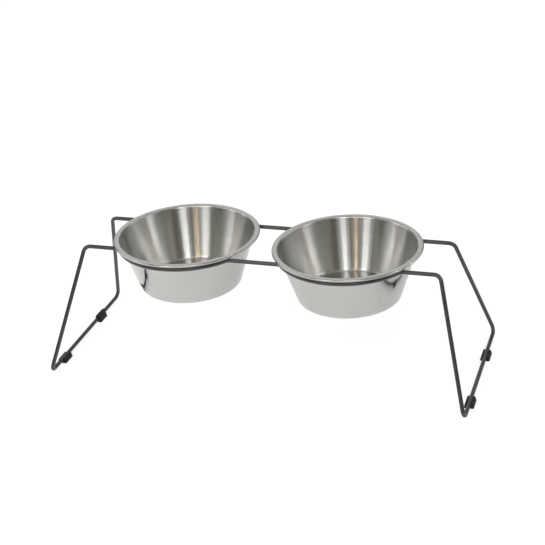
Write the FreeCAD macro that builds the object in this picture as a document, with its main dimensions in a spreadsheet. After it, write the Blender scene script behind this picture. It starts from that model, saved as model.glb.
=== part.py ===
"""Raised dog feeder: two stainless bowls hanging in a bent-wire stand on four clip-on rubber feet.

Frame: +Z up, X along the row of bowls, the floor at Z = 0, the middle of the stand at X = Y = 0.
Lengths are millimetres and angles are degrees.
"""
import FreeCAD
import Part
import Sketcher

import math
import os

from FreeCAD import Placement, Rotation, Vector

# Driving dimensions: alias, value, meaning
SIZES = [
    ("rim_diameter", 160.0, "bowl, outside of the rolled rim"),
    ("rim_width", 5.8, "bowl, from the top of the wall to the outside of the rim"),
    ("rim_bead", 2.6, "bowl, diameter of the rolled edge"),
    ("mouth_bend", 1.2, "bowl, radius under the bend from wall to rim"),
    ("bowl_height", 58.0, "bowl, from its base to the top of the rim"),
    ("sheet_thickness", 0.8, "bowl, steel sheet"),
    ("wall_taper", 18.2, "bowl, angle of the wall from vertical"),
    ("base_corner", 4.5, "bowl, outside radius between base and wall"),
    ("bowl_gap", 21.0, "gap between the two rims"),
    ("seat_drop", 6.5, "top of the rim above the middle of the wire that carries it"),
    ("seat_clearance", 0.3, "between the bowl's wall and the wire of its cradle"),
    ("wire_diameter", 4.4, "stand, wire with its coating"),
    ("rail_height", 135.8, "stand, middle of the rail wire above the floor"),
    ("rail_spread", 74.0, "stand, between the rails at the ends"),
    ("middle_spread", 86.0, "stand, between the rails in the middle"),
    ("end_run", 26.0, "stand, from the rim of a bowl to the top of a leg, along X"),
    ("weld_setback", 14.0, "stand, from the top of a leg to the weld on the rail"),
    ("leg_splay", 34.0, "stand, how far a leg leans out along X"),
    ("foot_bar_length", 186.0, "stand, foot bar between its two corners"),
    ("run_bend", 5.0, "stand, bend from a straight run into a cradle"),
    ("top_bend", 8.0, "stand, bend from a rail into a leg"),
    ("bottom_bend", 6.0, "stand, bend from a leg into a foot bar"),
    ("foot_length", 17.5, "foot, along the bar"),
    ("foot_reach", 4.2, "foot, from the middle of the wire to the base and to each flank"),
    ("foot_flank", 16.0, "foot, angle of the flanks from vertical"),
    ("foot_lip", 1.2, "foot, height of the jaws above the middle of the wire"),
    ("foot_grip", 0.1, "foot, clearance round the wire"),
    ("foot_edge", 0.7, "foot, radius of the long edges"),
    ("front_foot_inset", 35.0, "foot, middle of a front foot from the bar's front corner"),
    ("rear_foot_inset", 54.5, "foot, middle of a rear foot from the bar's rear corner"),
]

# Places and sizes that follow from the sheet, as formulas for expressions
RIM_RADIUS = "sizes.rim_diameter / 2"
WIRE_RADIUS = "sizes.wire_diameter / 2"
BOWL_X = "(sizes.rim_diameter + sizes.bowl_gap) / 2"
BOWL_Z = "(sizes.rail_height + sizes.seat_drop - sizes.bowl_height)"
SEAT_RADIUS = (
    "(sizes.rim_diameter / 2 - sizes.rim_width"
    " - (sizes.seat_drop - sizes.sheet_thickness) * tan(sizes.wall_taper * 1 deg))"
)
CRADLE_RADIUS = (
    SEAT_RADIUS
    + " + (sizes.wire_diameter / 2 + sizes.seat_clearance) / cos(sizes.wall_taper * 1 deg)"
)
LEG_TOP_X = "(sizes.rim_diameter + sizes.bowl_gap / 2 + sizes.end_run)"
WELD_X = LEG_TOP_X + " - sizes.weld_setback"
BAR_X = LEG_TOP_X + " + sizes.leg_splay"
FOOT_BASE_HALF = (
    "sizes.foot_reach * (1 + sin(sizes.foot_flank * 1 deg)) / cos(sizes.foot_flank * 1 deg)"
)
FOOT_TOP_HALF = (
    "(sizes.foot_reach - sizes.foot_lip * sin(sizes.foot_flank * 1 deg))"
    " / cos(sizes.foot_flank * 1 deg)"
)
CHANNEL_RADIUS = "sizes.wire_diameter / 2 + sizes.foot_grip"
FOOT_ROLL = "90 + sizes.foot_flank"

START = 1
END = 2
CENTRE = 3
X_AXIS = -1
ORIGIN = (-1, 1)
UP = Vector(0, 0, 1)
ALONG_BAR = Vector(0, 1, 0)


def make_sheet(doc):
    """The spreadsheet that holds every driving dimension under its alias."""
    sheet = doc.addObject("Spreadsheet::Sheet", "sizes")
    for row, (alias, value, meaning) in enumerate(SIZES, start=1):
        sheet.set(f"A{row}", alias.replace("_", " "))
        sheet.set(f"B{row}", str(value))
        sheet.set(f"C{row}", meaning)
        sheet.setAlias(f"B{row}", alias)
    doc.recompute()
    return sheet


def value(sheet, formula):
    """The number that a formula gives with the sheet's present values."""
    result = sheet.evalExpression(formula.replace("sizes.", ""))
    return float(getattr(result, "Value", result))


def origin_plane(body, role):
    """One of the body's own origin planes, by its role."""
    for feature in body.Origin.OriginFeatures:
        if feature.Role == role:
            return feature
    raise ValueError(f"no origin plane {role}")


def new_sketch(body, name, plane_role):
    """An empty sketch on one of the body's origin planes."""
    sketch = body.newObject("Sketcher::SketchObject", name)
    sketch.AttachmentSupport = [(origin_plane(body, plane_role), "")]
    sketch.MapMode = "FlatFace"
    return sketch


def bind(sketch, name, formula, *constraint):
    """Adds a dimension to a sketch and ties it to a formula."""
    index = sketch.addConstraint(Sketcher.Constraint(*constraint))
    sketch.renameConstraint(index, name)
    sketch.setExpression(f"Constraints.{name}", formula)


def bind_place(body, **formulas):
    """Ties the coordinates of a body's place to formulas."""
    for axis, formula in formulas.items():
        body.setExpression(f"Placement.Base.{axis}", formula)


def line(first, last):
    return Part.LineSegment(Vector(*first, 0), Vector(*last, 0))


def arc(centre, radius, first_degrees, last_degrees):
    """An arc that runs counter-clockwise from the first angle to the last."""
    circle = Part.Circle(Vector(*centre, 0), UP, radius)
    return Part.ArcOfCircle(circle, math.radians(first_degrees), math.radians(last_degrees))


def chain(sketch, joints, kind):
    """Joins pairs of curve ends, either smoothly (Tangent) or at a corner (Coincident)."""
    for first, first_end, second, second_end in joints:
        sketch.addConstraint(Sketcher.Constraint(kind, first, first_end, second, second_end))


def draw_bowl_section(sketch, sheet):
    """Half section of the bowl: sheet of even thickness from the base to the rolled rim."""
    height = value(sheet, "sizes.bowl_height")
    sheet_t = value(sheet, "sizes.sheet_thickness")
    rim = value(sheet, RIM_RADIUS)
    bead = value(sheet, "sizes.rim_bead") / 2
    fold = value(sheet, "sizes.mouth_bend")
    corner = value(sheet, "sizes.base_corner")
    taper = value(sheet, "sizes.wall_taper")
    wall_top = rim - value(sheet, "sizes.rim_width")
    slope = math.radians(taper)
    outward = (math.cos(slope), -math.sin(slope))

    def off(point, distance):
        """The point moved square to the wall, outwards."""
        return (point[0] + distance * outward[0], point[1] + distance * outward[1])

    foot_of_wall = wall_top - (height - sheet_t) * math.tan(slope)
    corner_centre = (foot_of_wall - corner * math.tan(math.radians(45 - taper / 2)), corner)
    fold_centre = (wall_top + fold / math.tan(math.radians(45 + taper / 2)), height - sheet_t - fold)
    bead_centre = (rim - bead, height - bead)
    bead_angle = 180 - math.degrees(math.asin((bead - sheet_t) / bead))
    bead_start = (bead_centre[0] + bead * math.cos(math.radians(bead_angle)), height - sheet_t)

    base, heel, wall, under, ledge, curl, land, lip, inside, toe, floor, axis = range(12)
    sketch.addGeometry([
        line((0, 0), (corner_centre[0], 0)),
        arc(corner_centre, corner, 270, 360 - taper),
        line(off(corner_centre, corner), off(fold_centre, -fold)),
        arc(fold_centre, fold, 90, 180 - taper),
        line((fold_centre[0], height - sheet_t), bead_start),
        arc(bead_centre, bead, bead_angle, 450),
        line((bead_centre[0], height), (fold_centre[0], height)),
        arc(fold_centre, fold + sheet_t, 90, 180 - taper),
        line(off(fold_centre, -fold - sheet_t), off(corner_centre, corner - sheet_t)),
        arc(corner_centre, corner - sheet_t, 270, 360 - taper),
        line((corner_centre[0], sheet_t), (0, sheet_t)),
        line((0, sheet_t), (0, 0)),
    ], False)
    chain(sketch, [
        (base, END, heel, START), (heel, END, wall, START), (wall, END, under, END),
        (under, START, ledge, START), (curl, END, land, START), (land, END, lip, START),
        (lip, END, inside, START), (inside, END, toe, END), (toe, START, floor, START),
    ], "Tangent")
    chain(sketch, [
        (ledge, END, curl, START), (floor, END, axis, START), (axis, END, base, START),
        (base, START, *ORIGIN), (toe, CENTRE, heel, CENTRE), (lip, CENTRE, under, CENTRE),
    ], "Coincident")
    for flat in (base, ledge, land, floor):
        sketch.addConstraint(Sketcher.Constraint("Horizontal", flat))
    sketch.addConstraint(Sketcher.Constraint("Vertical", axis))
    bind(sketch, "corner", "sizes.base_corner", "Radius", heel, corner)
    bind(sketch, "fold", "sizes.mouth_bend", "Radius", under, fold)
    bind(sketch, "bead", "sizes.rim_bead / 2", "Radius", curl, bead)
    bind(sketch, "floor", "sizes.sheet_thickness", "DistanceY", *ORIGIN, floor, END, sheet_t)
    bind(sketch, "land", "sizes.bowl_height", "DistanceY", *ORIGIN, land, START, height)
    bind(sketch, "ledge", "sizes.bowl_height - sizes.sheet_thickness",
         "DistanceY", *ORIGIN, ledge, START, height - sheet_t)
    bind(sketch, "edge", RIM_RADIUS + " - sizes.rim_bead / 2",
         "DistanceX", *ORIGIN, curl, CENTRE, bead_centre[0])
    bind(sketch, "fold_place",
         RIM_RADIUS + " - sizes.rim_width + sizes.mouth_bend / tan((45 + sizes.wall_taper / 2) * 1 deg)",
         "DistanceX", *ORIGIN, under, CENTRE, fold_centre[0])
    bind(sketch, "taper", "(90 - sizes.wall_taper) * 1 deg", "Angle", wall, math.radians(90 - taper))


def make_bowl(doc, sheet, label, side):
    """A spun bowl, hanging in the wire cradle on the given side of the stand."""
    body = doc.addObject("PartDesign::Body", label)
    section = new_sketch(body, label + "_section", "XZ_Plane")
    draw_bowl_section(section, sheet)
    spin = body.newObject("PartDesign::Revolution", label + "_spin")
    spin.Profile = section
    spin.ReferenceAxis = (section, ["V_Axis"])
    spin.Angle = 360.0
    bind_place(body, x=f"{side} * {BOWL_X}", z=BOWL_Z)
    return body


def draw_rail_path(sketch, sheet):
    """Middle line of the front rail: straight runs bent into an arc round each bowl."""
    bowl_x = value(sheet, BOWL_X)
    cradle = value(sheet, CRADLE_RADIUS)
    bend = value(sheet, "sizes.run_bend")
    weld_x = value(sheet, WELD_X)
    end_y = value(sheet, "sizes.rail_spread") / 2
    middle_y = value(sheet, "sizes.middle_spread") / 2

    def bend_reach(run_y):
        """Distance along X from a bowl's middle to the bend on a run at this depth."""
        return math.sqrt((cradle + bend) ** 2 - (run_y + bend) ** 2)

    def bend_angle(run_y):
        return math.degrees(math.asin((run_y + bend) / (cradle + bend)))

    outer = bowl_x + bend_reach(end_y)
    inner = bowl_x - bend_reach(middle_y)
    steep = bend_angle(end_y)
    shallow = bend_angle(middle_y)

    (left_run, left_bend, left_cradle, left_inner, middle_run,
     right_inner, right_cradle, right_bend, right_run) = range(9)
    sketch.addGeometry([
        line((-weld_x, -end_y), (-outer, -end_y)),
        arc((-outer, -end_y - bend), bend, steep, 90),
        arc((-bowl_x, 0), cradle, 180 + steep, 360 - shallow),
        arc((-inner, -middle_y - bend), bend, 90, 180 - shallow),
        line((-inner, -middle_y), (inner, -middle_y)),
        arc((inner, -middle_y - bend), bend, shallow, 90),
        arc((bowl_x, 0), cradle, 180 + shallow, 360 - steep),
        arc((outer, -end_y - bend), bend, 90, 180 - steep),
        line((outer, -end_y), (weld_x, -end_y)),
    ], False)
    chain(sketch, [
        (left_run, END, left_bend, END), (left_bend, START, left_cradle, START),
        (left_cradle, END, left_inner, END), (left_inner, START, middle_run, START),
        (middle_run, END, right_inner, END), (right_inner, START, right_cradle, START),
        (right_cradle, END, right_bend, END), (right_bend, START, right_run, START),
    ], "Tangent")
    for run in (left_run, middle_run, right_run):
        sketch.addConstraint(Sketcher.Constraint("Horizontal", run))
    for centre in (left_cradle, right_cradle):
        sketch.addConstraint(Sketcher.Constraint("PointOnObject", centre, CENTRE, X_AXIS))
    sketch.addConstraint(Sketcher.Constraint("Equal", left_cradle, right_cradle))
    for other in (left_inner, right_inner, right_bend):
        sketch.addConstraint(Sketcher.Constraint("Equal", left_bend, other))
    bind(sketch, "cradle", CRADLE_RADIUS, "Radius", left_cradle, cradle)
    bind(sketch, "bend", "sizes.run_bend", "Radius", left_bend, bend)
    bind(sketch, "left_bowl", BOWL_X, "DistanceX", left_cradle, CENTRE, *ORIGIN, bowl_x)
    bind(sketch, "right_bowl", BOWL_X, "DistanceX", *ORIGIN, right_cradle, CENTRE, bowl_x)
    bind(sketch, "left_depth", "sizes.rail_spread / 2", "DistanceY", left_run, START, *ORIGIN, end_y)
    bind(sketch, "right_depth", "sizes.rail_spread / 2", "DistanceY", right_run, END, *ORIGIN, end_y)
    bind(sketch, "depth", "sizes.middle_spread / 2", "DistanceY", middle_run, START, *ORIGIN, middle_y)
    bind(sketch, "left_weld", WELD_X, "DistanceX", left_run, START, *ORIGIN, weld_x)
    bind(sketch, "right_weld", WELD_X, "DistanceX", *ORIGIN, right_run, END, weld_x)


def make_rail(doc, sheet, label, turn):
    """A rail of the stand, bent flat from one wire; the rear rail is the front one turned round."""
    body = doc.addObject("PartDesign::Body", label)
    path = new_sketch(body, label + "_path", "XY_Plane")
    draw_rail_path(path, sheet)
    end_y = value(sheet, "sizes.rail_spread") / 2
    radius = value(sheet, WIRE_RADIUS)
    wire = new_sketch(body, label + "_wire", "YZ_Plane")
    wire.setExpression("AttachmentOffset.Base.z", f"-({WELD_X})")
    wire.addGeometry(Part.Circle(Vector(-end_y, 0, 0), UP, radius), False)
    wire.addConstraint(Sketcher.Constraint("PointOnObject", 0, CENTRE, X_AXIS))
    bind(wire, "depth", "sizes.rail_spread / 2", "DistanceX", 0, CENTRE, *ORIGIN, end_y)
    bind(wire, "radius", WIRE_RADIUS, "Radius", 0, radius)
    doc.recompute()
    rail = body.newObject("PartDesign::AdditivePipe", label + "_bar")
    rail.Profile = wire
    rail.Spine = path
    body.Placement = Placement(Vector(), Rotation(UP, turn))
    bind_place(body, z="sizes.rail_height")
    return body


def bent_path(points, bends):
    """A wire of straight runs through the points, each inner corner rounded to its bend radius."""
    edges = []
    start = points[0]
    for before, corner, after, radius in zip(points, points[1:], points[2:], bends):
        back = (before - corner).normalize()
        ahead = (after - corner).normalize()
        half_angle = back.getAngle(ahead) / 2
        setback = radius / math.tan(half_angle)
        bisector = (back + ahead).normalize()
        crown = corner + bisector * (radius / math.sin(half_angle) - radius)
        first = corner + back * setback
        last = corner + ahead * setback
        edges.append(Part.LineSegment(start, first).toShape())
        edges.append(Part.Arc(first, crown, last).toShape())
        start = last
    edges.append(Part.LineSegment(start, points[-1]).toShape())
    return Part.Wire(edges)


def make_leg_frame(doc, sheet, label, side):
    """A leg frame at one end of the stand: rail stub, leg, foot bar, leg and rail stub in one wire."""
    rail_z = value(sheet, "sizes.rail_height")
    bar_z = value(sheet, "sizes.foot_reach")
    rail_y = value(sheet, "sizes.rail_spread") / 2
    bar_y = value(sheet, "sizes.foot_bar_length") / 2
    weld_x = side * value(sheet, WELD_X)
    top_x = side * value(sheet, LEG_TOP_X)
    bar_x = side * value(sheet, BAR_X)
    top_bend = value(sheet, "sizes.top_bend")
    bottom_bend = value(sheet, "sizes.bottom_bend")
    corners = [
        Vector(weld_x, -rail_y, rail_z),
        Vector(top_x, -rail_y, rail_z),
        Vector(bar_x, -bar_y, bar_z),
        Vector(bar_x, bar_y, bar_z),
        Vector(top_x, rail_y, rail_z),
        Vector(weld_x, rail_y, rail_z),
    ]
    path = doc.addObject("Part::Feature", label + "_path")
    path.Shape = bent_path(corners, [top_bend, bottom_bend, bottom_bend, top_bend])
    wire = doc.addObject("Part::Circle", label + "_wire")
    wire.setExpression("Radius", WIRE_RADIUS)
    wire.Placement = Placement(corners[0], Rotation(UP, Vector(side, 0, 0)))
    frame = doc.addObject("Part::Sweep", label)
    frame.Sections = [wire]
    frame.Spine = (path, [f"Edge{number}" for number in range(1, len(path.Shape.Edges) + 1)])
    frame.Solid = True
    frame.Frenet = False
    return frame


def draw_foot_section(sketch, sheet):
    """Section of a clip foot: flat base, leaning flanks and a round channel open at the top."""
    reach = value(sheet, "sizes.foot_reach")
    lip = value(sheet, "sizes.foot_lip")
    base_half = value(sheet, FOOT_BASE_HALF)
    top_half = value(sheet, FOOT_TOP_HALF)
    channel = value(sheet, CHANNEL_RADIUS)
    mouth_angle = math.degrees(math.asin(lip / channel))
    mouth_half = math.sqrt(channel ** 2 - lip ** 2)

    base, right_flank, right_jaw, groove, left_jaw, left_flank = range(6)
    sketch.addGeometry([
        line((-base_half, -reach), (base_half, -reach)),
        line((base_half, -reach), (top_half, lip)),
        line((top_half, lip), (mouth_half, lip)),
        arc((0, 0), channel, 180 - mouth_angle, 360 + mouth_angle),
        line((-mouth_half, lip), (-top_half, lip)),
        line((-top_half, lip), (-base_half, -reach)),
    ], False)
    chain(sketch, [
        (base, END, right_flank, START), (right_flank, END, right_jaw, START),
        (right_jaw, END, groove, END), (groove, START, left_jaw, START),
        (left_jaw, END, left_flank, START), (left_flank, END, base, START),
        (groove, CENTRE, *ORIGIN),
    ], "Coincident")
    for flat in (base, right_jaw, left_jaw):
        sketch.addConstraint(Sketcher.Constraint("Horizontal", flat))
    bind(sketch, "channel", CHANNEL_RADIUS, "Radius", groove, channel)
    bind(sketch, "base", "sizes.foot_reach", "DistanceY", base, START, *ORIGIN, reach)
    bind(sketch, "base_right", FOOT_BASE_HALF, "DistanceX", *ORIGIN, base, END, base_half)
    bind(sketch, "base_left", FOOT_BASE_HALF, "DistanceX", base, START, *ORIGIN, base_half)
    bind(sketch, "right_lip", "sizes.foot_lip", "DistanceY", *ORIGIN, right_jaw, START, lip)
    bind(sketch, "left_lip", "sizes.foot_lip", "DistanceY", *ORIGIN, left_jaw, START, lip)
    bind(sketch, "right_top", FOOT_TOP_HALF, "DistanceX", *ORIGIN, right_jaw, START, top_half)
    bind(sketch, "left_top", FOOT_TOP_HALF, "DistanceX", left_jaw, END, *ORIGIN, top_half)


def long_outer_edges(shape, length, nearest):
    """Names of the foot's long edges that lie further from the wire than the channel does."""
    names = []
    for number, edge in enumerate(shape.Edges, start=1):
        first, last = (vertex.Point for vertex in edge.Vertexes)
        runs_along = abs(last.y - first.y) > length / 2
        if runs_along and math.hypot(first.x, first.z) > nearest:
            names.append(f"Edge{number}")
    return names


def make_foot(doc, sheet, label, side, place_y, roll):
    """A rubber foot clipped over the foot bar, turned about the bar by the roll angle."""
    body = doc.addObject("PartDesign::Body", label)
    section = new_sketch(body, label + "_section", "XZ_Plane")
    draw_foot_section(section, sheet)
    block = body.newObject("PartDesign::Pad", label + "_block")
    block.Profile = section
    block.setExpression("Length", "sizes.foot_length")
    block.Midplane = True
    doc.recompute()
    length = value(sheet, "sizes.foot_length")
    mid_jaw = value(sheet, f"({CHANNEL_RADIUS} + sizes.foot_reach) / 2")
    edges = body.newObject("PartDesign::Fillet", label + "_edges")
    edges.Base = (block, long_outer_edges(block.Shape, length, mid_jaw))
    edges.setExpression("Radius", "sizes.foot_edge")
    body.Placement = Placement(Vector(), Rotation(ALONG_BAR, value(sheet, roll)))
    body.setExpression("Placement.Rotation.Angle", roll)
    bind_place(body, x=f"{side} * ({BAR_X})", y=place_y, z="sizes.foot_reach")
    return body


def check(doc, parts):
    """Stops if any object failed to build or any sub-part isn't one valid solid."""
    for item in doc.Objects:
        if "Invalid" in item.State or "Error" in item.State:
            raise RuntimeError(f"{item.Label} failed: {item.State}")
    for part in parts:
        shape = part.Shape
        if shape.isNull() or not shape.isValid() or len(shape.Solids) != 1:
            raise RuntimeError(f"{part.Label} isn't one valid solid")


def main():
    doc = FreeCAD.newDocument("dog_feeder")
    sheet = make_sheet(doc)
    front_y = "-(sizes.foot_bar_length / 2 - sizes.front_foot_inset)"
    rear_y = "sizes.foot_bar_length / 2 - sizes.rear_foot_inset"
    upright = "0"
    # The rear left foot lies on its flank, with its channel turned outwards
    on_flank = f"-({FOOT_ROLL})"
    parts = [
        make_rail(doc, sheet, "front_rail", 0),
        make_rail(doc, sheet, "rear_rail", 180),
        make_leg_frame(doc, sheet, "left_leg_frame", -1),
        make_leg_frame(doc, sheet, "right_leg_frame", 1),
        make_bowl(doc, sheet, "left_bowl", -1),
        make_bowl(doc, sheet, "right_bowl", 1),
        make_foot(doc, sheet, "front_left_foot", -1, front_y, upright),
        make_foot(doc, sheet, "rear_left_foot", -1, rear_y, on_flank),
        make_foot(doc, sheet, "front_right_foot", 1, front_y, upright),
        make_foot(doc, sheet, "rear_right_foot", 1, rear_y, upright),
    ]
    doc.recompute()
    check(doc, parts)
    os.makedirs("parts", exist_ok=True)
    for part in parts:
        part.Shape.exportStep(f"parts/{part.Label}.step")
        box = part.Shape.BoundBox
        print(f"{part.Label:18s} volume {part.Shape.Volume:9.1f}  "
              f"x {box.XMin:7.1f} {box.XMax:7.1f}  y {box.YMin:6.1f} {box.YMax:6.1f}  "
              f"z {box.ZMin:6.2f} {box.ZMax:6.2f}")


main()
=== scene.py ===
"""Looks of the raised dog feeder: spun steel bowls in a coated wire stand on clip-on rubber feet.

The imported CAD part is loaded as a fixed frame. Lengths are metres, +Z is up, and the floor is at Z = 0.
"""
import math
from typing import NamedTuple

import bpy
from bpy.props import FloatProperty, FloatVectorProperty, IntProperty, PointerProperty
from mathutils import Matrix, Quaternion, Vector


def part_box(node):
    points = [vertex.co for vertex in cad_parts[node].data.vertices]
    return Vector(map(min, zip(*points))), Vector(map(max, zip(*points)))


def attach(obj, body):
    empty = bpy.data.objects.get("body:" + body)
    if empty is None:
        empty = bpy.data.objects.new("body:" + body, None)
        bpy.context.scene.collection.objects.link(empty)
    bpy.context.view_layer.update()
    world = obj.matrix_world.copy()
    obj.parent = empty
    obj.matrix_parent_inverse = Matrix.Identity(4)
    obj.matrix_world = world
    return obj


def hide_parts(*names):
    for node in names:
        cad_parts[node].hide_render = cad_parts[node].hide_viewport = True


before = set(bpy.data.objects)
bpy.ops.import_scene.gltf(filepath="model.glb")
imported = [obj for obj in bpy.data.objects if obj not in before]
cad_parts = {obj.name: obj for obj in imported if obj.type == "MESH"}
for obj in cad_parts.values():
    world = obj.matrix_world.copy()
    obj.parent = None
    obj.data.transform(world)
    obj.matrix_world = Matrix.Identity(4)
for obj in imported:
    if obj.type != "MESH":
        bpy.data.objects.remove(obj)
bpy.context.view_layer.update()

bl_info = {
    "name": "Raised Dog Feeder",
    "version": (1, 0, 0),
    "blender": (4, 5, 0),
    "location": "View3D > Sidebar > Feeder",
    "description": "Dresses a raised dog feeder: spun bowls, coated wire stand and rubber clip feet",
    "category": "Object",
}

STAND_BODY = "stand"
BOWL_NODES = ("left_bowl", "right_bowl")
WIRE_NODES = ("front_rail", "rear_rail", "left_leg_frame", "right_leg_frame")
UPRIGHT_FEET = ("front_left_foot", "front_right_foot", "rear_right_foot")
ROLLED_FOOT = "rear_left_foot"

WHITE = (1.0, 1.0, 1.0)
ORIGIN = (0.0, 0.0, 0.0)
EIGHTH_TURN = math.pi / 4
QUARTER_TURN = math.pi / 2
# A face counts as an upper one when its normal rises by more than this.
FACES_UP = 0.5


def length(name, description, default):
    """A size in metres that a user may change."""
    return FloatProperty(name=name, description=description, default=default, unit="LENGTH", precision=5)


def angle(name, description, degrees):
    """An angle that a user may change; its default is given in degrees."""
    return FloatProperty(name=name, description=description, default=math.radians(degrees), subtype="ANGLE")


def colour(name, description, default):
    """A linear colour that a user may change."""
    return FloatVectorProperty(name=name, description=description, default=default, size=3,
                               min=0.0, max=1.0, subtype="COLOR")


def amount(name, description, default):
    """An amount of light that a user may change."""
    return FloatProperty(name=name, description=description, default=default, min=0.0)


class BowlSettings(bpy.types.PropertyGroup):
    """Shape and finish of the two spun bowls"""
    sheet_thickness: length("Sheet", "Thickness of the steel sheet", 0.0008)
    rim_width: length("Rim width", "From the top of the wall to the outside of the rim", 0.0058)
    rim_bead: length("Rim bead", "Diameter of the rolled edge", 0.0026)
    mouth_bend: length("Mouth bend", "Radius under the bend from wall to rim", 0.0012)
    base_corner: length("Base corner", "Outside radius between base and wall", 0.0045)
    wall_taper: angle("Wall taper", "Angle of the wall from vertical", 18.2)
    around: IntProperty(name="Segments", description="Segments round the bowl", default=288, min=24)
    steel: colour("Steel", "Colour of the bare stainless steel", (0.57, 0.568, 0.56))


class WireSettings(bpy.types.PropertyGroup):
    """Finish of the wire stand"""
    coating: colour("Coating", "Colour of the powder coat", (0.025, 0.029, 0.031))


class FootSettings(bpy.types.PropertyGroup):
    """Shape and finish of the clip-on feet"""
    foot_length: length("Length", "Along the foot bar", 0.0175)
    reach: length("Reach", "From the middle of the wire to the base and to each flank", 0.0042)
    flank: angle("Flank", "Angle of the flanks from vertical", 16.0)
    lip: length("Lip", "Height of the jaws above the middle of the wire", 0.0012)
    channel: length("Channel", "Radius of the channel round the wire", 0.0023)
    edge: length("Edge", "Width of the rounding on the outer edges", 0.00098)
    rubber: colour("Rubber", "Colour of the rubber", (0.007, 0.007, 0.0075))


class StageSettings(bpy.types.PropertyGroup):
    """Camera, floor and light of the studio"""
    camera_place: FloatVectorProperty(name="Camera", description="Place of the camera", size=3,
                                      default=(0.4372, -1.2116, 0.7518), subtype="TRANSLATION", unit="LENGTH")
    yaw: angle("Yaw", "Turn of the view about the vertical, from +Y", 19.63)
    pitch: angle("Pitch", "How far the view looks down", 26.77)
    roll: angle("Roll", "Turn of the view about its own axis", -4.27)
    lens: FloatProperty(name="Lens", description="Focal length on a 36 mm sensor", default=87.92,
                        min=10.0, unit="CAMERA")
    floor: colour("Floor", "Colour of the floor as it lights the object", (0.80, 0.80, 0.80))
    seen_floor: colour("Seen floor", "Colour of the floor under its glow, where it is seen",
                       (0.32, 0.32, 0.32))
    floor_glow: amount("Floor glow", "Light that the floor adds where it is seen near the object", 0.79)
    # The two sheens are a painted glow of the floor that only polished metal sees, not light from a lamp.
    left_painted_sheen: amount("Left sheen", "Light of the floor's left side in polished metal", 0.30)
    right_painted_sheen: amount("Right sheen", "Light of the floor's right side in polished metal", 0.05)
    sky: amount("Sky", "Soft light from all round", 0.42)
    horizon: colour("Horizon", "Dark lower part of the studio in the metal", (0.030, 0.029, 0.023))
    ceiling: colour("Ceiling", "Upper part of the studio in the metal", (0.205, 0.197, 0.125))
    zenith: colour("Zenith", "Paler panel straight above the object, in the metal", (0.62, 0.61, 0.57))
    screen: colour("Screen", "Pale round screen behind the object, in the metal", (0.82, 0.82, 0.82))
    screen_azimuth: angle("Screen azimuth", "Direction of the screen from the object, from +X", 113.0)
    screen_height: angle("Screen height", "How far the middle of the screen is above the horizon", 30.0)
    screen_core: angle("Screen core", "Half width of the screen's even middle", 14.0)
    screen_edge: angle("Screen edge", "Half width of the screen at its faded edge", 27.0)


def settings(name):
    """One of the groups of settings on the scene."""
    return getattr(bpy.context.scene, "feeder_" + name)


def deselect_all():
    """Leaves nothing selected, so that an operator acts on the new piece alone."""
    bpy.ops.object.select_all(action="DESELECT")


def select_only(obj):
    """Makes one object the selected and active one."""
    deselect_all()
    obj.select_set(True)
    bpy.context.view_layer.objects.active = obj


def apply_place(obj, place, turn_about_y=0.0):
    """Moves a piece to its place and writes that into its mesh, so that the object stays at the origin."""
    select_only(obj)
    obj.location = place
    obj.rotation_euler = (0.0, turn_about_y, 0.0)
    bpy.ops.object.transform_apply(location=True, rotation=True, scale=True)


def copy_piece(obj, name):
    """A copy of a piece with a mesh of its own."""
    select_only(obj)
    bpy.ops.object.duplicate(linked=False)
    copy = bpy.context.object
    copy.name = name
    copy.data.name = name
    return copy


def node_centre(node):
    """Middle of a CAD node's box."""
    low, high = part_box(node)
    return (low + high) / 2


# Most values of a noise texture lie between these two.
NOISE_LOW = 0.3
NOISE_HIGH = 0.7
# A Mix node has sockets of the same name for each kind of data, so its colour ones are found by number.
MIX_COLOURS = (6, 7)
MIX_RESULT = 2


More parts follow.
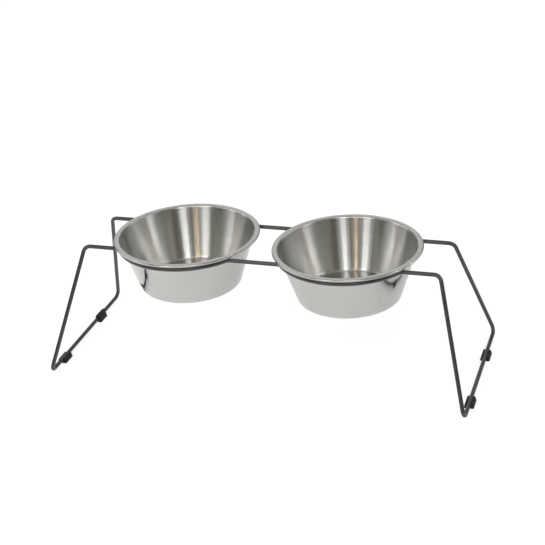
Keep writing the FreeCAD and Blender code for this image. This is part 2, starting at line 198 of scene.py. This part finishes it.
class NodeBuilder:
    """The node tree of a material or of the world, filled node by node."""

    def __init__(self, tree):
        tree.nodes.clear()
        self.tree = tree

    def add(self, kind, **values):
        """Adds a node; values are its own settings, or its inputs by name or as sockets to link."""
        node = self.tree.nodes.new(kind)
        for key, item in values.items():
            if hasattr(node, key):
                setattr(node, key, item)
            else:
                self.feed(node.inputs[key], item)
        return node

    def feed(self, socket, item):
        """Links an output to an input, or sets the input's own value."""
        if isinstance(item, bpy.types.NodeSocket):
            self.tree.links.new(item, socket)
        else:
            socket.default_value = item

    def place(self):
        """Place on the piece, which is its place in the scene."""
        return self.add("ShaderNodeTexCoord").outputs["Object"]

    def part(self, vector, axis):
        """One of a vector's three numbers."""
        return self.add("ShaderNodeSeparateXYZ", Vector=vector).outputs[axis]

    def math(self, operation, first, second):
        """Arithmetic on two numbers, each given or a socket to link."""
        node = self.add("ShaderNodeMath", operation=operation)
        self.feed(node.inputs[0], first)
        self.feed(node.inputs[1], second)
        return node.outputs[0]

    def vector(self, operation, first, second=None):
        """Arithmetic on vectors; a length or a dot product gives a number."""
        node = self.add("ShaderNodeVectorMath", operation=operation)
        self.feed(node.inputs[0], first)
        if second is not None:
            self.feed(node.inputs[1], second)
        return node.outputs["Value" if operation in ("LENGTH", "DOT_PRODUCT") else "Vector"]

    def spread(self, item, low, high, from_low=NOISE_LOW, from_high=NOISE_HIGH):
        """Spreads a value, as a rule a noise, over the range from low to high and keeps it there."""
        node = self.add("ShaderNodeMapRange")
        self.feed(node.inputs["Value"], item)
        self.feed(node.inputs["From Min"], from_low)
        self.feed(node.inputs["From Max"], from_high)
        self.feed(node.inputs["To Min"], low)
        self.feed(node.inputs["To Max"], high)
        return node.outputs["Result"]

    def share(self, item, start, end):
        """How far a value is on its way from start to end, from 0 to 1."""
        return self.spread(item, 0.0, 1.0, from_low=start, from_high=end)

    def shade(self, base, item, low, high):
        """A colour made darker or lighter by a noise value."""
        node = self.add("ShaderNodeVectorMath", operation="SCALE")
        self.feed(node.inputs[0], base)
        self.feed(node.inputs["Scale"], self.spread(item, low, high))
        return node.outputs["Vector"]

    def blend(self, factor, first, second):
        """A colour that passes from the first to the second; each is a colour or a socket to link."""
        node = self.add("ShaderNodeMix", data_type="RGBA")
        self.feed(node.inputs["Factor"], factor)
        for number, item in zip(MIX_COLOURS, (first, second)):
            linked = isinstance(item, bpy.types.NodeSocket)
            self.feed(node.inputs[number], item if linked else (*item, 1.0))
        return node.outputs[MIX_RESULT]

    def noise(self, place, scale, detail=2.0):
        """Cloudy noise, with about as many clouds to the metre as the scale says."""
        node = self.add("ShaderNodeTexNoise", Vector=place, Scale=scale, Detail=detail)
        return node.outputs["Fac"]

    def bump(self, height, strength, depth, below=None):
        """A normal tilted by a height map; below is a tilted normal that this one is laid over."""
        node = self.add("ShaderNodeBump", Height=height, Strength=strength, Distance=depth)
        if below is not None:
            self.feed(node.inputs["Normal"], below)
        return node.outputs["Normal"]


def new_material(name):
    """An empty node material with its builder and its surface shader."""
    material = bpy.data.materials.new(name)
    material.use_nodes = True
    build = NodeBuilder(material.node_tree)
    shader = build.add("ShaderNodeBsdfPrincipled")
    output = build.add("ShaderNodeOutputMaterial")
    build.feed(output.inputs["Surface"], shader.outputs["BSDF"])
    return material, build, shader


# Takes the height out of a place, which leaves its way from a bowl's axis.
FLATTEN = (1.0, 1.0, 0.0)


class TurnedSteel:
    """Bare steel with rings round a bowl's axis, as a lathe or polishing wheel leaves them.

    The noise of the rings has a scale across them and another along them, and the shade is the range of
    factors by which it darkens and lightens the steel.
    """

    def __init__(self, name, centre, across, along, shade):
        self.material, self.build, self.shader = new_material(name)
        build = self.build
        self.place = build.vector("SUBTRACT", build.place(), (centre.x, centre.y, 0.0))
        radius = build.vector("LENGTH", build.vector("MULTIPLY", self.place, FLATTEN))
        stretched = build.vector("MULTIPLY", self.place, (along, along, across))
        lines = build.add("ShaderNodeTexNoise", noise_dimensions="4D", Vector=stretched,
                          W=build.math("MULTIPLY", radius, across), Scale=1.0, Detail=3.0)
        self.lines = lines.outputs["Fac"]
        steel = tuple(settings("bowl").steel)
        build.feed(self.shader.inputs["Base Color"], build.shade(steel, self.lines, *shade))
        self.shader.inputs["Metallic"].default_value = 1.0

    def wear(self, rings, cloud_scale, roughness):
        """Roughness that changes in wide clouds, times a factor that changes from ring to ring."""
        build = self.build
        cloud = build.noise(self.place, cloud_scale)
        worn = build.math("MULTIPLY", build.spread(self.lines, *rings), build.spread(cloud, *roughness))
        build.feed(self.shader.inputs["Roughness"], worn)

    def score(self, strength, depth, below=None):
        """Cuts the rings into the surface."""
        build = self.build
        build.feed(self.shader.inputs["Normal"], build.bump(self.lines, strength, depth, below))


# The inside wall is shaded with a faint bow, of this, per metre, times the square of the height from its
# middle: about 1 mm at the top and the bottom.
WALL_BOW = 1.25
STAVE_SCALE = 26.0
STAVE_DEPTH = 0.00008
# Reads the noise of the staves at another level for each bowl, so that the two don't match.
STAVE_SHIFT = 17.0


def staves(build, centre, place):
    """Noise that changes round a bowl's axis but not up its wall, as the faint flats of spun sheet do."""
    way = build.vector("NORMALIZE", build.vector("MULTIPLY", place, FLATTEN))
    own = build.vector("ADD", way, (0.0, 0.0, STAVE_SHIFT * centre.x))
    return build.noise(own, STAVE_SCALE, detail=3.0)


def brushed_inside(name, centre):
    """Inside of a bowl: steel brushed round and round, which draws reflections into streaks."""
    steel = TurnedSteel(name, centre, across=2600.0, along=9.0, shade=(0.93, 1.05))
    steel.wear(rings=(0.94, 1.06), cloud_scale=22.0, roughness=(0.28, 0.32))
    build = steel.build
    rise = build.math("SUBTRACT", build.part(steel.place, "Z"), centre.z)
    bowed = build.bump(build.math("MULTIPLY", rise, rise), strength=1.0, depth=WALL_BOW)
    flats = staves(build, centre, steel.place)
    uneven = build.bump(flats, strength=1.0, depth=STAVE_DEPTH, below=bowed)
    steel.score(strength=0.05, depth=0.00004, below=uneven)
    steel.shader.inputs["Anisotropic"].default_value = 1.0
    steel.shader.inputs["Anisotropic Rotation"].default_value = 0.25
    return steel.material


def polished_outside(name, centre):
    """Outside of a bowl: mirror polish with faint wheel marks and the slight waves of spun sheet."""
    steel = TurnedSteel(name, centre, across=1500.0, along=14.0, shade=(0.97, 1.03))
    build = steel.build
    build.feed(steel.shader.inputs["Roughness"], build.spread(steel.lines, low=0.05, high=0.11))
    waves = build.noise(steel.place, scale=26.0, detail=1.0)
    rippled = build.bump(waves, strength=0.25, depth=0.0006)
    steel.score(strength=0.03, depth=0.00003, below=rippled)
    return steel.material


def polished_floor(name, centre):
    """Floor inside a bowl: brighter polish than the wall, which it mirrors."""
    steel = TurnedSteel(name, centre, across=1800.0, along=10.0, shade=(0.94, 1.02))
    steel.wear(rings=(0.9, 1.1), cloud_scale=35.0, roughness=(0.09, 0.14))
    steel.score(strength=0.03, depth=0.00003)
    return steel.material


def satin_rim(name, centre):
    """Rim of a bowl: fine satin, turned in rings."""
    steel = TurnedSteel(name, centre, across=2200.0, along=16.0, shade=(0.90, 1.0))
    steel.wear(rings=(0.92, 1.08), cloud_scale=40.0, roughness=(0.26, 0.32))
    steel.score(strength=0.06, depth=0.00003)
    return steel.material


def powder_coat():
    """Coated wire: matt black with the fine orange peel of baked powder."""
    material, build, shader = new_material("powder_coat")
    place = build.place()
    peel = build.noise(place, scale=1500.0)
    cloud = build.noise(place, scale=70.0)
    coating = tuple(settings("wire").coating)
    build.feed(shader.inputs["Base Color"], build.shade(coating, cloud, low=0.85, high=1.2))
    build.feed(shader.inputs["Roughness"], build.spread(cloud, low=0.28, high=0.36))
    build.feed(shader.inputs["Normal"], build.bump(peel, strength=0.25, depth=0.00012))
    shader.inputs["Specular IOR Level"].default_value = 0.8
    return material


def moulded_rubber():
    """Feet: black rubber with a fine moulded grain."""
    material, build, shader = new_material("moulded_rubber")
    place = build.place()
    grain = build.noise(place, scale=2200.0)
    bloom = build.noise(place, scale=160.0)
    rubber = tuple(settings("foot").rubber)
    build.feed(shader.inputs["Base Color"], build.shade(rubber, bloom, low=0.8, high=1.5))
    build.feed(shader.inputs["Roughness"], build.spread(bloom, low=0.55, high=0.70))
    build.feed(shader.inputs["Normal"], build.bump(grain, strength=0.3, depth=0.00010))
    shader.inputs["Specular IOR Level"].default_value = 0.35
    return material


def arc_points(centre, radius, first, last, steps):
    """Points on an arc from the first angle to the last, both in degrees."""
    points = []
    for step in range(steps + 1):
        turn = math.radians(first + (last - first) * step / steps)
        points.append((centre[0] + radius * math.cos(turn), centre[1] + radius * math.sin(turn)))
    return points


class BowlSection(NamedTuple):
    """Outline of a bowl's half section, with the places that part its finishes."""
    outline: list
    wall_top: float
    lip_foot: float


# Directions in a bowl's half section, in degrees from the one that points away from the axis.
UP = 90
INWARD = 180
DOWN = -90
FULL_TURN = 360
# Rings of faces round each bend of the section.
CORNER_STEPS = 12
FOLD_STEPS = 6
CURL_STEPS = 20
LIP_STEPS = 10


def bowl_section(rim_radius, height):
    """Radius and height of each ring, from the base round the rolled rim to the inside floor."""
    bowl = settings("bowl")
    taper = bowl.wall_taper
    lean = math.degrees(taper)
    sheet = bowl.sheet_thickness
    fold = bowl.mouth_bend
    bead = bowl.rim_bead / 2
    corner = bowl.base_corner
    wall_top = rim_radius - bowl.rim_width
    wall_foot = wall_top - (height - sheet) * math.tan(taper)
    corner_centre = (wall_foot - corner * math.tan(EIGHTH_TURN - taper / 2), corner)
    fold_centre = (wall_top + fold / math.tan(EIGHTH_TURN + taper / 2), height - sheet - fold)
    bead_centre = (rim_radius - bead, height - bead)
    bead_start = INWARD - math.degrees(math.asin((bead - sheet) / bead))

    heel = arc_points(corner_centre, corner, DOWN, -lean, CORNER_STEPS)
    under_rim = arc_points(fold_centre, fold, INWARD - lean, UP, FOLD_STEPS)
    curl = arc_points(bead_centre, bead, bead_start, UP + FULL_TURN, CURL_STEPS)
    lip = arc_points(fold_centre, fold + sheet, UP, INWARD - lean, LIP_STEPS)
    toe = arc_points(corner_centre, corner - sheet, -lean, DOWN, CORNER_STEPS)

    # A narrow ring beside each bend keeps the smooth shading of the bend off the plain sheet.
    hold = sheet / 3
    flat_edge = corner_centre[0]
    up_wall = (math.sin(taper) * hold, math.cos(taper) * hold)

    def below(point):
        """The place a narrow ring further down the wall."""
        return (point[0] - up_wall[0], point[1] - up_wall[1])

    def above(point):
        """The place a narrow ring further up the wall."""
        return (point[0] + up_wall[0], point[1] + up_wall[1])

    outline = [(flat_edge - hold, 0.0), *heel, above(heel[-1]), below(under_rim[0]), *under_rim, *curl,
               (curl[-1][0] - hold, height), (lip[0][0] + hold, height), *lip,
               below(lip[-1]), above(toe[0]), *toe, (flat_edge - hold, sheet)]
    return BowlSection(outline, wall_top, lip[-1][1])


def turn_shell(outline, around):
    """A closed shell: a ring extruded from the middle of the base round to that of the inside floor."""
    deselect_all()
    radius, level = outline[0]
    bpy.ops.mesh.primitive_circle_add(vertices=around, radius=radius, fill_type="TRIFAN",
                                      location=ORIGIN, enter_editmode=True)
    bpy.ops.mesh.select_mode(type="EDGE")
    bpy.ops.mesh.select_all(action="DESELECT")
    bpy.ops.mesh.select_non_manifold()
    for next_radius, next_level in outline[1:]:
        rise = (0.0, 0.0, next_level - level)
        bpy.ops.mesh.extrude_region_move(TRANSFORM_OT_translate={"value": rise})
        widen = next_radius / radius
        bpy.ops.transform.resize(value=(widen, widen, 1.0), center_override=(0.0, 0.0, next_level))
        radius, level = next_radius, next_level
    bpy.ops.mesh.extrude_region_move(TRANSFORM_OT_translate={"value": ORIGIN})
    bpy.ops.mesh.merge(type="CENTER")
    bpy.ops.mesh.select_all(action="SELECT")
    bpy.ops.mesh.normals_make_consistent(inside=False)
    bpy.ops.object.mode_set(mode="OBJECT")
    return bpy.context.object


INSIDE, OUTSIDE, RIM, FLOOR = range(4)
FINISHES = {
    INSIDE: ("_inside", brushed_inside),
    OUTSIDE: ("_outside", polished_outside),
    RIM: ("_rim", satin_rim),
    FLOOR: ("_floor", polished_floor),
}
# The level floor's normal rises by more than this, and the rounded corner's by less.
LIES_LEVEL = 0.95
BOWL_CREASE = math.radians(40)


def mark_finishes(shell, section):
    """Gives each face of a bowl the slot of its finish, by its place and the way it faces."""
    for face in shell.data.polygons:
        outward = Vector((face.center.x, face.center.y, 0.0))
        if outward.length > section.wall_top or face.center.z > section.lip_foot:
            face.material_index = RIM
        elif face.normal.dot(outward) < 0.0 or face.normal.z > FACES_UP:
            face.material_index = FLOOR if face.normal.z > LIES_LEVEL else INSIDE
        else:
            face.material_index = OUTSIDE


class FEEDER_OT_bowls(bpy.types.Operator):
    """Turns a bowl, copies it for the other side and gives both their finishes"""
    bl_idname = "feeder.bowls"
    bl_label = "Bowls"

    def execute(self, context):
        low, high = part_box(BOWL_NODES[0])
        section = bowl_section((high.x - low.x) / 2, high.z - low.z)
        first = turn_shell(section.outline, settings("bowl").around)
        for _ in FINISHES:
            first.data.materials.append(None)
        mark_finishes(first, section)
        select_only(first)
        bpy.ops.object.shade_smooth_by_angle(angle=BOWL_CREASE)
        second = copy_piece(first, "spun_" + BOWL_NODES[1])
        first.name = "spun_" + BOWL_NODES[0]
        for node, bowl in zip(BOWL_NODES, (first, second)):
            centre = node_centre(node)
            apply_place(bowl, (centre.x, centre.y, low.z))
            for slot, (ending, finish) in FINISHES.items():
                bowl.material_slots[slot].material = finish(node + ending, centre)
            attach(bowl, node + "_body")
            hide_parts(node)
        return {"FINISHED"}


class FEEDER_OT_wires(bpy.types.Operator):
    """Coats the rails and leg frames of the stand"""
    bl_idname = "feeder.wires"
    bl_label = "Wire stand"

    def execute(self, context):
        coat = powder_coat()
        for node in WIRE_NODES:
            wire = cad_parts[node]
            for slot in wire.material_slots:
                slot.material = coat
        return {"FINISHED"}


FOOT_EDGE_SEGMENTS = 4
FOOT_CREASE = math.radians(32)
CHANNEL_SEGMENTS = 48


def clip_foot():
    """A rubber clip about the middle of its wire, along Y: a tapered block with a round channel."""
    foot = settings("foot")
    base_half = foot.reach * (1 + math.sin(foot.flank)) / math.cos(foot.flank)
    block_height = foot.reach + foot.lip
    block_size = (2 * base_half, foot.foot_length, block_height)
    top_half = base_half - block_height * math.tan(foot.flank)
    deselect_all()
    bpy.ops.mesh.primitive_cube_add(size=1.0, location=ORIGIN, enter_editmode=True)
    block = bpy.context.object
    bpy.ops.transform.resize(value=block_size, center_override=ORIGIN)
    bpy.ops.transform.translate(value=(0.0, 0.0, (foot.lip - foot.reach) / 2))
    bpy.ops.mesh.select_mode(type="FACE")
    bpy.ops.mesh.select_all(action="DESELECT")
    bpy.ops.object.mode_set(mode="OBJECT")
    for face in block.data.polygons:
        face.select = face.normal.z > FACES_UP
    bpy.ops.object.mode_set(mode="EDIT")
    bpy.ops.transform.resize(value=(top_half / base_half, 1.0, 1.0), center_override=(0.0, 0.0, foot.lip))
    bpy.ops.mesh.select_all(action="SELECT")
    bpy.ops.mesh.bevel(offset=foot.edge, segments=FOOT_EDGE_SEGMENTS, affect="EDGES")
    bpy.ops.object.mode_set(mode="OBJECT")

    deselect_all()
    bpy.ops.mesh.primitive_cylinder_add(vertices=CHANNEL_SEGMENTS, radius=foot.channel,
                                        depth=2 * foot.foot_length, location=ORIGIN,
                                        rotation=(QUARTER_TURN, 0.0, 0.0))
    cutter = bpy.context.object
    select_only(block)
    channel = block.modifiers.new("channel", "BOOLEAN")
    channel.object = cutter
    channel.operation = "DIFFERENCE"
    channel.solver = "EXACT"
    bpy.ops.object.modifier_apply(modifier=channel.name)
    select_only(cutter)
    bpy.ops.object.delete()
    select_only(block)
    bpy.ops.object.shade_smooth_by_angle(angle=FOOT_CREASE)
    return block


class FEEDER_OT_feet(bpy.types.Operator):
    """Makes a clip foot, copies it to its four places and rolls one on its bar"""
    bl_idname = "feeder.feet"
    bl_label = "Clip feet"

    def execute(self, context):
        foot = settings("foot")
        rubber = moulded_rubber()
        pattern = clip_foot()
        pattern.data.materials.append(rubber)
        # The box of a foot that stands upright is centred on its bar, and the rolled foot's isn't.
        bar_x = node_centre(UPRIGHT_FEET[1]).x
        for node in (*UPRIGHT_FEET, ROLLED_FOOT):
            clip = copy_piece(pattern, "clip_" + node)
            side = math.copysign(bar_x, node_centre(node).x)
            roll = -(QUARTER_TURN + foot.flank) if node == ROLLED_FOOT else 0.0
            apply_place(clip, (side, node_centre(node).y, foot.reach), roll)
            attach(clip, STAND_BODY)
            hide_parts(node)
        select_only(pattern)
        bpy.ops.object.delete()
        return {"FINISHED"}


class Softbox(NamedTuple):
    """A soft lamp that stands round the object and faces its axis.

    The azimuth is from +X, and the lean turns the lamp in its own plane, both in degrees. The middle is
    the height of its middle, and the brightness is in watts for each square metre and steradian.
    """
    name: str
    azimuth: float
    distance: float
    width: float
    height: float
    middle: float
    brightness: float
    colour: tuple = WHITE
    lean: float = 0.0


WARM = (1.0, 0.80, 0.60)
SOFTBOXES = (
    Softbox("front_right_softbox", -65.8, 2.3, 0.50, 2.20, 2.30, 6.5),
    Softbox("front_left_softbox", -110.5, 1.8, 0.42, 1.73, 1.83, 6.5),
    Softbox("warm_strip", -90.0, 3.4, 0.12, 3.27, 3.35, 18.0, WARM),
    Softbox("right_strip", -3.0, 2.0, 0.22, 1.50, 1.45, 6.8, lean=14.0),
    Softbox("right_fill", 29.0, 2.0, 0.14, 1.60, 1.45, 10.0, lean=28.0),
    Softbox("right_panel", 50.0, 2.0, 0.70, 0.70, 1.10, 1.8),
    Softbox("left_strip", -156.0, 2.0, 0.14, 1.55, 1.45, 12.0, lean=-25.0),
    Softbox("left_fill", -182.0, 2.0, 0.24, 1.60, 1.45, 8.0, lean=-29.0),
)


def add_softbox(box):
    """An area lamp that faces the object from its place round it."""
    turn = math.radians(box.azimuth)
    place = Vector((math.cos(turn) * box.distance, math.sin(turn) * box.distance, box.middle))
    upright = Vector((-place.x, -place.y, 0.0)).to_track_quat("-Z", "Y")
    leaning = Quaternion((0.0, 0.0, 1.0), math.radians(box.lean))
    bpy.ops.object.light_add(type="AREA", location=place)
    lamp = bpy.context.object
    lamp.name = box.name
    lamp.rotation_euler = (upright @ leaning).to_euler()
    lamp.data.shape = "RECTANGLE"
    lamp.data.size = box.width
    lamp.data.size_y = box.height
    lamp.data.color = box.colour
    lamp.data.energy = box.brightness * math.pi * box.width * box.height


FLOOR_SIZE = 40.0
# Where the floor's painted sheen, a glow that only the metal sees, starts and ends its change from left to
# right, along X.
SHEEN_LEFT = -0.3
SHEEN_RIGHT = 0.5
# Distances from the object between which the floor's glow rises to plain white.
GLOW_NEAR = 1.0
GLOW_FAR = 4.0
FULL_GLOW = 1.0


def add_floor():
    """A floor that looks white to the horizon, takes the object's shadow and shows dimly in the metal through
    a painted glow, brighter on its left, that only reflections see.
    """
    stage = settings("stage")
    deselect_all()
    bpy.ops.mesh.primitive_plane_add(size=FLOOR_SIZE, location=ORIGIN)
    floor = bpy.context.object
    floor.name = "floor"
    material = bpy.data.materials.new("pale_floor")
    material.use_nodes = True
    build = NodeBuilder(material.node_tree)
    path = build.add("ShaderNodeLightPath")
    place = build.place()
    # Painted reflection: the floor glows for glossy rays alone, brighter on the left, so the metal mirrors
    # more light on that side.
    painted_sheen = build.spread(build.part(place, "X"), stage.left_painted_sheen, stage.right_painted_sheen,
                         from_low=SHEEN_LEFT, from_high=SHEEN_RIGHT)
    seen_glow = build.spread(build.vector("LENGTH", place), stage.floor_glow, FULL_GLOW,
                             from_low=GLOW_NEAR, from_high=GLOW_FAR)
    seen = path.outputs["Is Camera Ray"]
    glow = build.math("ADD", build.math("MULTIPLY", seen, seen_glow),
                      build.math("MULTIPLY", path.outputs["Is Glossy Ray"], painted_sheen))
    paint = build.add("ShaderNodeBsdfDiffuse", Color=build.blend(seen, stage.floor, stage.seen_floor))
    light = build.add("ShaderNodeEmission", Color=(*WHITE, 1.0), Strength=glow)
    both = build.add("ShaderNodeAddShader")
    build.feed(both.inputs[0], paint.outputs["BSDF"])
    build.feed(both.inputs[1], light.outputs["Emission"])
    build.add("ShaderNodeOutputMaterial", Surface=both.outputs["Shader"])
    floor.data.materials.append(material)


# Heights, from 0 at the horizon to 1 straight above, between which one colour passes into the next.
CEILING_RISE = (0.10, 0.80)
ZENITH_RISE = (0.86, 0.99)


def light_sky():
    """White surroundings where they are seen, soft light on the object, and a studio in the metal."""
    stage = settings("stage")
    world = bpy.data.worlds.new("studio")
    world.use_nodes = True
    bpy.context.scene.world = world
    build = NodeBuilder(world.node_tree)
    path = build.add("ShaderNodeLightPath")
    brightness = build.spread(path.outputs["Is Camera Ray"], stage.sky, 1.0, from_low=0.0, from_high=1.0)
    plain = build.add("ShaderNodeBackground", Color=(*WHITE, 1.0), Strength=brightness)
    way = build.add("ShaderNodeTexCoord").outputs["Generated"]
    height = build.part(way, "Z")
    room = build.blend(build.share(height, *CEILING_RISE), stage.horizon, stage.ceiling)
    room = build.blend(build.share(height, *ZENITH_RISE), room, stage.zenith)
    flat = math.cos(stage.screen_height)
    screen_way = (flat * math.cos(stage.screen_azimuth), flat * math.sin(stage.screen_azimuth),
                  math.sin(stage.screen_height))
    nearness = build.vector("DOT_PRODUCT", way, screen_way)
    on_screen = build.share(nearness, math.cos(stage.screen_edge), math.cos(stage.screen_core))
    studio = build.add("ShaderNodeBackground", Color=build.blend(on_screen, room, stage.screen))
    mix = build.add("ShaderNodeMixShader", Fac=path.outputs["Is Glossy Ray"])
    build.feed(mix.inputs[1], plain.outputs["Background"])
    build.feed(mix.inputs[2], studio.outputs["Background"])
    build.add("ShaderNodeOutputWorld", Surface=mix.outputs["Shader"])


SENSOR_WIDTH = 36.0
NEAREST_SEEN = 0.05
FARTHEST_SEEN = 100.0


def add_camera():
    """The camera at the photograph's place and angle."""
    stage = settings("stage")
    bpy.ops.object.camera_add()
    camera = bpy.context.object
    camera.name = "camera"
    heading = Matrix.Rotation(stage.yaw, 4, "Z") @ Matrix.Rotation(QUARTER_TURN - stage.pitch, 4, "X")
    tilt = Matrix.Rotation(stage.roll, 4, "Z")
    camera.matrix_world = Matrix.Translation(stage.camera_place) @ heading @ tilt
    camera.data.sensor_width = SENSOR_WIDTH
    camera.data.lens = stage.lens
    camera.data.clip_start = NEAREST_SEEN
    camera.data.clip_end = FARTHEST_SEEN
    bpy.context.scene.camera = camera


class FEEDER_OT_stage(bpy.types.Operator):
    """Sets up the pale floor, the soft lamps, the studio round them and the camera"""
    bl_idname = "feeder.stage"
    bl_label = "Stage"

    def execute(self, context):
        add_floor()
        for box in SOFTBOXES:
            add_softbox(box)
        light_sky()
        add_camera()
        context.scene.view_settings.view_transform = "Standard"
        return {"FINISHED"}


class FEEDER_PT_panel(bpy.types.Panel):
    """Sizes, colours and steps of the feeder"""
    bl_idname = "FEEDER_PT_panel"
    bl_label = "Raised Dog Feeder"
    bl_space_type = "VIEW_3D"
    bl_region_type = "UI"
    bl_category = "Feeder"

    def draw(self, context):
        for name, operator in STEPS:
            box = self.layout.box()
            box.operator(operator.bl_idname)
            for key in GROUPS[name].__annotations__:
                box.prop(settings(name), key)


GROUPS = {"bowl": BowlSettings, "wire": WireSettings, "foot": FootSettings, "stage": StageSettings}
STEPS = (
    ("bowl", FEEDER_OT_bowls),
    ("wire", FEEDER_OT_wires),
    ("foot", FEEDER_OT_feet),
    ("stage", FEEDER_OT_stage),
)
CLASSES = (*GROUPS.values(), *(operator for _, operator in STEPS), FEEDER_PT_panel)


def register():
    """Adds the panel, its steps and their settings to Blender."""
    for item in CLASSES:
        bpy.utils.register_class(item)
    for name, group in GROUPS.items():
        setattr(bpy.types.Scene, "feeder_" + name, PointerProperty(type=group))


def unregister():
    """Takes them out again."""
    for name in GROUPS:
        delattr(bpy.types.Scene, "feeder_" + name)
    for item in reversed(CLASSES):
        bpy.utils.unregister_class(item)


def main():
    """Builds the whole feeder on its stage."""
    register()
    bpy.ops.feeder.bowls()
    bpy.ops.feeder.wires()
    bpy.ops.feeder.feet()
    bpy.ops.feeder.stage()


if __name__ == "__main__":
    main()
